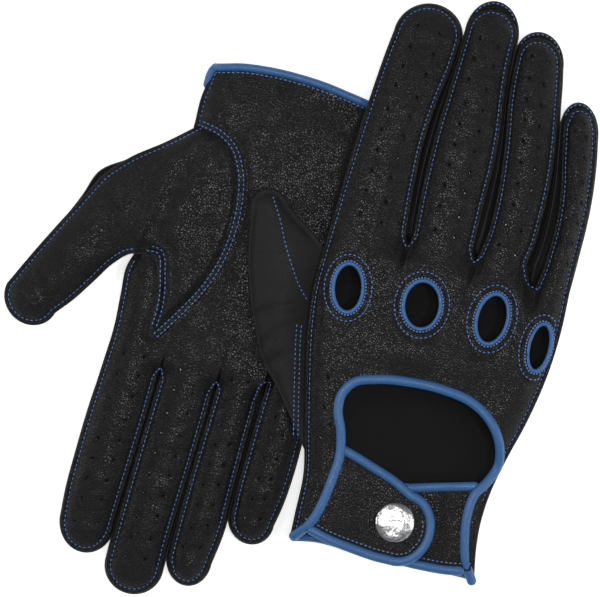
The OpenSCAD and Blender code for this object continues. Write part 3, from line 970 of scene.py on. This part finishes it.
# ---- Strap, flap and snap
# A leather strap sewn under the thumb-side wing and a flap from the other wing, both edged with binding. A
# four-piece line snap of plated metal closes them: cap and socket on the strap, stud and post on the flap.
strap_upper = [(-32, 40.2), (-23.9, 38.1), (-12.9, 34.1), (-1, 29.2), (5.6, 25.4)]
strap_lower = [(-35.5, 6.2), (-22.9, 2.4), (-13, 0.5), (-4.5, -0.8), (2.4, -1.2)]
flap_lower = [(35, 0.6), (26, -0.8), (16.6, -1.2), (9, -1.0), (3.5, -0.2)]
flap_upper = [(34, 35.0), (25, 33.0), (16, 31.0), (9, 29.4), (3.5, 28.2)]
STRAP_FOLD = (Vector((-27.5, 19.5, 10)), Vector((-22.5, 19.5, 10)))
rows = {}
FLAT = {"seam": 0.0, "seam_tip": 0.0, "crown": 0.35, "lip": 0.0}


def strap_height(x):
    return 9.6 + 1.0 * (1 - step(-26, -8, x))


def flap_height(x):
    return 6.0 + 4.0 * step(10, 30, x)


def strap_pieces(glove, x_scale, x_shift, sign):
    """The strap and its flap with their bindings; the rear glove's lie the other way up."""
    turn = lambda pts: [(x_scale * x + x_shift, y) for x, y in pts]
    back = lambda x: (x - x_shift) / x_scale
    bend = None
    body = "rear_glove"
    if glove == "front":
        bend, body = STRAP_FOLD, "front_strap"
    for name, upper, lower, height, tip_len, node_name in (
        ("strap", strap_upper, strap_lower, strap_height, 11.6, "strap"),
        ("under_flap", flap_lower, flap_upper, flap_height, 12.0, "flap"),
    ):
        points, _ = limb(turn(upper), turn(lower), tip_len, 0.0, FLAT)
        lifted = points[..., 2] + height(back(points[..., 0]))
        points[..., 2] = lifted if sign > 0 else THICK - lifted
        bm = grid_mesh(points)
        if sign < 0:
            bmesh.ops.reverse_faces(bm, faces=bm.faces[:])
        thicken(bm, 1.0)
        moving = glove == "front" and name == "strap"
        piece(
            f"{glove}_{name}_leather", bm, [black, suede, raw_edge], glove,
            body if moving else f"{glove}_glove", [f"{glove}_{name}"], bend if moving else None,
        )
        rim = loop_at(points, 0)
        rim[:, 2] -= sign * 0.55
        rim = resampled(rim[3:-3], 150)
        piece(
            f"{glove}_{node_name}_binding_tube", tube(rim, 1.9, 1.25), [blue], glove,
            body if moving else f"{glove}_glove", [f"{glove}_{node_name}_binding"],
            bend if moving else None,
        )
        inner = loop_at(points, 6)
        rows[glove, name] = inner[len(inner) // 2 - 10 :] if name == "strap" else inner[: len(inner) // 2]
        rows[glove, name] = rows[glove, name] + [0, 0, sign * 0.12]


strap_pieces("front", 1.0, 0.0, 1)
strap_pieces("rear", 0.9, 6.3, -1)


def metal_material(name, colour, roughness, strength):
    """Polished plated metal with faint dents and rubbed patches."""
    m = bpy.data.materials.new(name)
    m.use_nodes = True
    tree = m.node_tree
    shader = tree.nodes["Principled BSDF"]
    shader.inputs["Base Color"].default_value = (*colour, 1)
    shader.inputs["Metallic"].default_value = 1.0
    where = node(tree, "ShaderNodeTexCoord").outputs["Object"]
    dents = node(tree, "ShaderNodeTexNoise", {"Vector": where}, Scale=260.0, Detail=2.0)
    bump = node(tree, "ShaderNodeBump", {"Height": dents.outputs["Fac"]}, Strength=strength, Distance=0.0012)
    tree.links.new(bump.outputs[0], shader.inputs["Normal"])
    rubs = node(tree, "ShaderNodeTexNoise", {"Vector": where}, Scale=900.0, Detail=4.0)
    rough = node(tree, "ShaderNodeMapRange", {"Value": rubs.outputs["Fac"]})
    rough.inputs["To Min"].default_value = roughness * 0.6
    rough.inputs["To Max"].default_value = roughness * 1.6
    tree.links.new(rough.outputs[0], shader.inputs["Roughness"])
    return m


chrome = metal_material("polished_metal", (0.86, 0.87, 0.89), 0.12, 0.35)
cap_metal = metal_material("bright_cap_metal", (0.8, 0.8, 0.81), 0.27, 0.5)


def turned_shape(profile, centre, sign=1, steps=48):
    """A round part spun from its profile of (radius, height) about an upright axis."""
    bm = bmesh.new()
    verts = [bm.verts.new((r, 0, sign * z)) for r, z in profile]
    edges = [bm.edges.new(pair) for pair in zip(verts[:-1], verts[1:])]
    bmesh.ops.spin(
        bm, geom=verts + edges, cent=(0, 0, 0), axis=(0, 0, 1), angle=2 * math.pi, steps=steps,
        use_merge=True,
    )
    bmesh.ops.remove_doubles(bm, verts=bm.verts[:], dist=0.001)
    bmesh.ops.recalc_face_normals(bm, faces=bm.faces[:])
    bmesh.ops.translate(bm, verts=bm.verts[:], vec=centre)
    return bm


CAP_AT = 10.25
cap_profile = [
    (0, 1.55), (2, 1.53), (4, 1.46), (
        5.2, 1.36,
    ), (6.2, 1.2), (7.0, 0.98), (7.6, 0.68), (7.92, 0.3), (8.0, 0.0),
    (7.9, -0.2), (7.5, -0.3), (6.5, -0.3), (1.8, -0.3), (1.8, -2.2), (0, -2.2),
]
piece(
    "front_snap_cap_dome", turned_shape(cap_profile, (1.0, 14.0, CAP_AT)), [cap_metal],
    "front", "front_strap", ["front_snap_cap"],
)
piece(
    "rear_snap_cap_dome", turned_shape(cap_profile, (7.0, 14.0, THICK - CAP_AT), -1), [cap_metal],
    "rear", "rear_glove", ["rear_snap_cap"],
)
for name in ("socket", "stud", "post"):
    for glove in ("front", "rear"):
        metal = frame["nodes"][f"{glove}_snap_{name}"]
        metal.data.materials.clear()
        metal.data.materials.append(chrome)


# ---- Thumbs
# Each thumb has a palm half and a back half. On the palm side its leather runs on into a large curved piece
# that is set into the palm with two rows of stitches.
# A lighter, matter copy of the black leather for the upper face of the front thumb: painted light.
lit_thumb_black = leather(
    "lit_thumb_leather", (0.0085, 0.0085, 0.009), (0.013, 0.013, 0.0138), 0.55, 0.75, 1900, 0.7, 0.4, 0.0002,
    specular=0.3,
)
rear_outer = [
    (-28.2, 25.8), (-38.8, 35.6), (-50.5, 45.3), (-58.6, 54.8), (-63.8, 65.2), (-71.2, 80.2), (-78.8, 96.5),
    (-83.6, 107.5),
]
rear_inner = [
    (-22.0, 112.2), (-23.2, 99.5), (-25.6, 88.0), (-31.4, 81.0), (-39.6, 82.4), (-45.2, 88.0),
    (-50.4, 96.6), (-56.8, 107.0), (-62.0, 113.8),
]
piece_root = [
    (-28.2, 25.8), (-18.8, 26.0), (-11.8, 29.9), (-6.8, 37.5), (-3.6, 48.2), (-2.5, 60), (-3.4, 73),
    (-6.8, 85.8), (-12.4, 97.6), (-22.0, 112.2),
]
front_outer = [
    (-37, 30), (-49, 47.3), (-57.2, 58.4), (-63.6, 66), (-69.4, 77.9), (-74.6, 92), (-78.9, 110),
    (-80.4, 122.5),
]
front_inner = [
    (-42, 94), (-42.6, 102), (-45.4, 111), (-50.5, 117.4), (-57.4, 122.8), (-63, 126.6), (-66.4, 129.4),
]
THUMB_TOP = {"seam": 8.6, "seam_tip": 7.4, "crown": 4.2}
THUMB_UNDER = {"seam": 3.4, "seam_tip": 4.8, "crown": -2.6}


def thumb_bend(glove):
    if glove == "front":
        return Vector((-42, 58, 6)), Vector((-58, 66, 6))
    return Vector((-36.5, 58, 6)), Vector((-51, 66, 6))


def past_root(x, y):
    """How far a point lies outside the rear thumb's root line."""
    a, b = np.array([-29.5, 28.0]), np.array([-37.5, 80.0])
    d = (b - a) / np.linalg.norm(b - a)
    return -(d[1] * (x - a[0]) - d[0] * (y - a[1]))


def set_in_palm(points):
    """The thumb piece follows the palm up to its root line and dips under the palm's edge at the seams."""
    x, y = points[..., 0], points[..., 1]
    out = past_root(x, y)
    columns = np.linalg.norm(points[:, :1, :2] - points[..., :2], axis=2)
    tube_height = points[..., 2].copy()
    near = THUMB_TOP["seam"] + THUMB_TOP["crown"] * crown(
        columns, np.full(columns.shape, 14.0),
    ) + lip(columns)
    palm = near + 0.5
    for i in range(points.shape[0]):
        for j in range(points.shape[1]):
            if out[i, j] < 13 and columns[i, j] > 9:
                hit = surfaces["rear", "top"].ray_cast(Vector((x[i, j], y[i, j], 40)), Vector((0, 0, -1)))[0]
                if hit is not None:
                    palm[i, j] = palm[i, j] + (
                        max(hit.z, 12.0) + 0.3 - palm[i, j]
                    ) * step(9, 16, columns[i, j])
    m = step(-2, 12, out)
    points[..., 2] = palm + (tube_height - palm) * m
    away = distance_to(np.vstack([seam_line, tongue_line]), points)
    inside = out < 3
    points[..., 2] -= np.where(inside, 1.3 * np.exp(-((away / 1.9) ** 2)), 0)
    ball = np.exp(-(((x + 30) / 17) ** 2 + ((y - 58) / 24) ** 2))
    points[..., 2] += 1.5 * ball
    return points


for glove in ("front", "rear"):
    for side, level in (("top", THUMB_TOP), ("under", THUMB_UNDER)):
        set_in = (glove, side) == ("rear", "top")
        if glove == "rear":
            outer = rear_outer if set_in else rear_outer[:3] + [(-61.4, 54.2), (-65.0, 65.0)] + rear_outer[5:]
            points, edge = limb(
                outer, rear_inner, 10.4, 0.06, level, rows=70, root=piece_root if set_in else None,
            )
        else:
            points, edge = limb(front_outer, front_inner, 8.6, 0.0, level, rows=60)
        x, y = points[..., 0], points[..., 1]
        sign = np.sign(level["crown"])
        if set_in:
            points = set_in_palm(points)
        points[..., 2] += sign * 0.5 * step(3, 8, edge) * wrinkle(x, y, 11.0, 70.0)
        if glove == "front":
            points[..., 2] -= 0.14 * np.maximum(0, -42 - x)
            if side == "top":
                for a, b in (((-71, 84), (-52, 91)), ((-66, 73), (-50, 86)), ((-62, 66), (-49, 72))):
                    away = distance_to(
                        smooth_line(
                            [a, ((a[0] + b[0]) / 2, (a[1] + b[1]) / 2 + 1.5), b], np.linspace(0, 1, 60),
                        ),
                        points,
                    )
                    points[..., 2] -= 0.8 * np.exp(-((away / 1.3) ** 2)) - 0.45 * np.exp(
                        -(((away - 3.0) / 1.6) ** 2)
                    )
            under_hand = 1 - step(-0.5, 12, side_at(shape["front"]["left"], np.clip(y, 0, 127)) - x)
            points[..., 2] = points[..., 2] + (np.minimum(points[..., 2], 6.3) - points[..., 2]) * under_hand
        grids[glove, "thumb_" + side] = [points]
        bm = bmesh.new()
        add_grid(bm, points, 0, flip=side == "under")
        surfaces[glove, "thumb_" + side] = BVHTree.FromBMesh(bm)
        bmesh.ops.remove_doubles(bm, verts=bm.verts[:], dist=0.12)
        thicken(bm)
        face = (show_side if side == "top" else hidden_side)[glove]
        # The front thumb's upper face gets the lighter copy of the black leather, a painted light.
        leather_of = lit_thumb_black if (glove, side) == ("front", "top") else black
        piece(
            f"{glove}_thumb_{face}_leather", bm, [
                leather_of, suede, raw_edge,
            ], glove, f"{glove}_thumb",
            [f"{glove}_thumb_{face}"], thumb_bend(glove),
        )
    bm = bmesh.new()
    a, b = grids[glove, "thumb_top"][0], grids[glove, "thumb_under"][0]
    skip = 14 if glove == "rear" else 4
    strip(bm, loop_at(a, 2)[skip:-skip], loop_at(b, 2)[skip:-skip], loop_at(a, 6)[skip:-skip], n=150)
    bmesh.ops.recalc_face_normals(bm, faces=bm.faces[:])
    piece(
        f"{glove}_thumb_side_strip", bm, [shaded_strip_black], glove, f"{glove}_thumb", (),
        thumb_bend(glove),
    )


# ---- Sewing thread
# Every seam is a row of separate stitches of blue thread, pulled into the leather.
def thread_material():
    """Blue twisted thread: fine diagonal plies and a soft sheen."""
    m = bpy.data.materials.new("blue_thread")
    m.use_nodes = True
    tree = m.node_tree
    shader = tree.nodes["Principled BSDF"]
    where = node(tree, "ShaderNodeTexCoord").outputs["Object"]
    plies = node(tree, "ShaderNodeTexNoise", {"Vector": where}, Scale=2600.0, Detail=2.0)
    mix = node(tree, "ShaderNodeMix", {"Factor": plies.outputs["Fac"]}, data_type="RGBA")
    mix.inputs["A"].default_value = (0.045, 0.125, 0.38, 1)
    mix.inputs["B"].default_value = (0.17, 0.36, 0.80, 1)
    tree.links.new(mix.outputs["Result"], shader.inputs["Base Color"])
    bump = node(tree, "ShaderNodeBump", {"Height": plies.outputs["Fac"]}, Strength=0.5, Distance=0.0002)
    tree.links.new(bump.outputs[0], shader.inputs["Normal"])
    shader.inputs["Roughness"].default_value = 0.45
    shader.inputs["Sheen Weight"].default_value = 0.3
    return m


thread = thread_material()

one_stitch = bmesh.new()
bmesh.ops.create_uvsphere(one_stitch, u_segments=6, v_segments=5, radius=1.0)
stitch_mesh = bpy.data.meshes.new("one_stitch")
one_stitch.to_mesh(stitch_mesh)
one_stitch.free()


def sew(bm, line, pitch=1.9, length=1.22, width=0.52, height=0.5, closed=False):
    """A row of stitches along a line."""
    line = np.array(line, float)
    if closed:
        line = np.vstack([line, line[:1]])
    d = np.r_[0, np.cumsum(np.linalg.norm(np.diff(line, axis=0), axis=1))]
    n = max(2, round(d[-1] / pitch))
    at = (np.arange(n) + 0.5) / n * d[-1]
    get = lambda s: np.c_[tuple(np.interp(s, d, line[:, i]) for i in range(3))]
    middle, ahead, behind = get(at), get(np.minimum(at + 0.4, d[-1])), get(np.maximum(at - 0.4, 0))
    for p, q, r in zip(middle, ahead, behind):
        z = Vector(q - r).normalized()
        x = z.cross(Vector((0, 0, 1))).normalized()
        y = z.cross(x)
        turn = Matrix((x * width / 2, y * height / 2, z * length / 2)).transposed().to_4x4()
        mesh = stitch_mesh.copy()
        mesh.transform(Matrix.Translation(Vector(p)) @ turn)
        bm.from_mesh(mesh)
        bpy.data.meshes.remove(mesh)


def beside(line, away):
    """A flat line moved sideways, to its right when away is above 0."""
    line = np.array(line, float)[:, :2]
    t = np.gradient(line, axis=0)
    t /= np.linalg.norm(t, axis=1)[:, None]
    return line + away * np.c_[t[:, 1], -t[:, 0]]


SEAM_ROW = 4
for glove in ("front", "rear"):
    back = "top" if glove == "front" else "under"
    for i, name in enumerate(digits):
        bm = bmesh.new()
        for side, sign in (("top", 1), ("under", -1)):
            sew(bm, loop_at(grids[glove, side][i + 1], SEAM_ROW) + [0, 0, sign * 0.12])
        if glove == "front" and i > 0:
            palm_row = loop_at(grids[glove, "under"][i + 1], 2)
            sew(bm, palm_row[palm_row[:, 1] > palm_row[:, 1].max() - 6] + [0, 0, WALL + 0.1])
        piece(
            f"{glove}_{name}_thread", bm, [thread], glove, finger_body(glove, name), (),
            finger_bend(glove, name),
        )
    bm = bmesh.new()
    for side, sign in (("top", 1), ("under", -1)):
        hand, fingers = grids[glove, side][0], grids[glove, side][1:]
        for k in (SEAM_ROW, -SEAM_ROW - 1):
            line = hand[:, k] + [0, 0, sign * 0.12]
            if glove == "rear" and side == "top" and k == SEAM_ROW:
                sew(bm, line[line[:, 1] > 84])
                sew(bm, line[line[:, 1] < 27])
            else:
                sew(bm, line)
        for i in range(3):
            a, b = fingers[i][0, -SEAM_ROW - 1], fingers[i + 1][0, SEAM_ROW]
            dip = np.array([(a[0] + b[0]) / 2, (a[1] + b[1]) / 2 - shape[glove]["crotch"][i] - 1.0])
            bowl = smooth_line([a[:2], dip, b[:2]], np.linspace(0, 1, 30))
            sew(bm, on_surface(glove, side, bowl, 0.1))
    for hole in knuckle_holes[glove]:
        sign = 1 if back == "top" else -1
        ring = hole_ring(hole, 4.3, 60)
        ring[:, 0] = np.minimum(ring[:, 0], side_at(shape[glove]["right"], ring[:, 1]) - 3.0)
        sew(bm, on_surface(glove, back, ring, 0.12), closed=True)
        sew(bm, on_surface(glove, back, hole_ring(hole, 1.85, 60), 0.35), 1.3, 0.9, 0.75, 0.7, closed=True)
    for name in ("strap", "under_flap"):
        if (glove, name) != ("front", "strap"):
            line = rows[glove, name]
            sew(bm, line)
    palm = "under" if glove == "front" else "top"
    wrist_row = resampled(grids[glove, palm][0][2][4:-4], 60)
    sew(bm, wrist_row + [0, 0, 0.1 if palm == "top" else -0.1])
    if glove == "rear":
        for away in (0.9, 2.7):
            sew(bm, on_surface(glove, "top", beside(seam_line, away), 0.15))
        for away in (-1.0, 0.9):
            sew(bm, on_surface(glove, "top", beside(tongue_line[8:], away), 0.1))
    piece(f"{glove}_hand_thread", bm, [thread], glove, f"{glove}_glove")
    bm = bmesh.new()
    for side, sign in (("top", 1), ("under", -1)):
        points = grids[glove, "thumb_" + side][0]
        line = loop_at(points, SEAM_ROW) + [0, 0, sign * 0.12]
        if glove == "rear" and side == "top":
            line = line[: len(line) - 34]
        if (glove, side) != ("front", "top"):
            sew(bm, line)
    if glove == "front":
        heights = np.linspace(40, 84, 40)
        edge_line = np.c_[side_at(shape["front"]["left"], heights), heights]
        for away in (2.6, 4.4):
            sew(bm, on_surface("front", "thumb_top", edge_line - [away, 0], 0.12))
        seam = smooth_line(
            [(-73, 131.5), (-68.2, 123.1), (-63.9, 113.7), (-59.9, 106.3), (-55.6, 99), (-51.3, 93.8)],
            np.linspace(0, 1, 60),
        )
        sew(bm, on_surface("front", "thumb_top", seam, 0.12))
    piece(f"{glove}_thumb_thread", bm, [thread], glove, f"{glove}_thumb", (), thumb_bend(glove))
bm = bmesh.new()
sew(bm, rows["front", "strap"])
piece("front_strap_thread", bm, [thread], "front", "front_strap", (), STRAP_FOLD)

# ---- Floor, light and camera
# A plain pale floor, and soft studio lights: two small ones overhead that pick out the grain of each
# glove, and weak large ones from the sides. The camera looks straight down.
floor_bm = bmesh.new()
bmesh.ops.create_grid(floor_bm, x_segments=1, y_segments=1, size=3.0)
floor_mesh = bpy.data.meshes.new("floor")
floor_bm.to_mesh(floor_mesh)
floor_bm.free()
floor = bpy.data.objects.new("floor", floor_mesh)
floor.location.z = -0.0004
bpy.context.scene.collection.objects.link(floor)
pale = bpy.data.materials.new("pale_floor")
pale.use_nodes = True
pale_looks = {
    "Base Color": (0.95, 0.95, 0.95, 1),
    "Roughness": 0.9,
    "Emission Color": (1, 1, 1, 1),
    "Emission Strength": 0.6,
}
for socket, value in pale_looks.items():
    pale.node_tree.nodes["Principled BSDF"].inputs[socket].default_value = value
floor_mesh.materials.append(pale)

world = bpy.data.worlds.new("studio")
bpy.context.scene.world = world
world.use_nodes = True
world.node_tree.nodes["Background"].inputs["Color"].default_value = (1, 1, 1, 1)
world.node_tree.nodes["Background"].inputs["Strength"].default_value = 0.12


def softbox(name, place, size, power):
    data = bpy.data.lights.new(name, "AREA")
    data.shape = "RECTANGLE"
    data.size, data.size_y = size
    data.energy = power
    lamp = bpy.data.objects.new(name, data)
    lamp.location = place
    lamp.rotation_euler = (-Vector(place)).to_track_quat("-Z", "Y").to_euler()
    bpy.context.scene.collection.objects.link(lamp)


softbox("softbox_overhead", (0.04, -0.02, 1.35), (0.18, 0.26), 4.2)
softbox("softbox_front_glove", (0.47, -0.1, 1.35), (0.2, 0.2), 3.3)
softbox("softbox_above", (-0.25, 0.55, 1.15), (0.55, 0.45), 2.2)
softbox("softbox_left", (-1.1, 0.1, 0.5), (0.5, 0.9), 3.5)
softbox("softbox_right", (1.1, -0.2, 0.5), (0.4, 0.9), 3.0)
bpy.context.scene.view_settings.view_transform = "Standard"

camera_data = bpy.data.cameras.new("camera")
camera = bpy.data.objects.new("camera", camera_data)
distance = 1.2
view_width = 0.240
upper_face = 0.010
sensor = 36
camera.location = (0, -0.0012, distance)
camera_data.sensor_width = sensor
camera_data.lens = sensor * distance / view_width * (1 - upper_face / distance)
camera_data.clip_end = 20
bpy.context.scene.collection.objects.link(camera)
bpy.context.scene.camera = camera
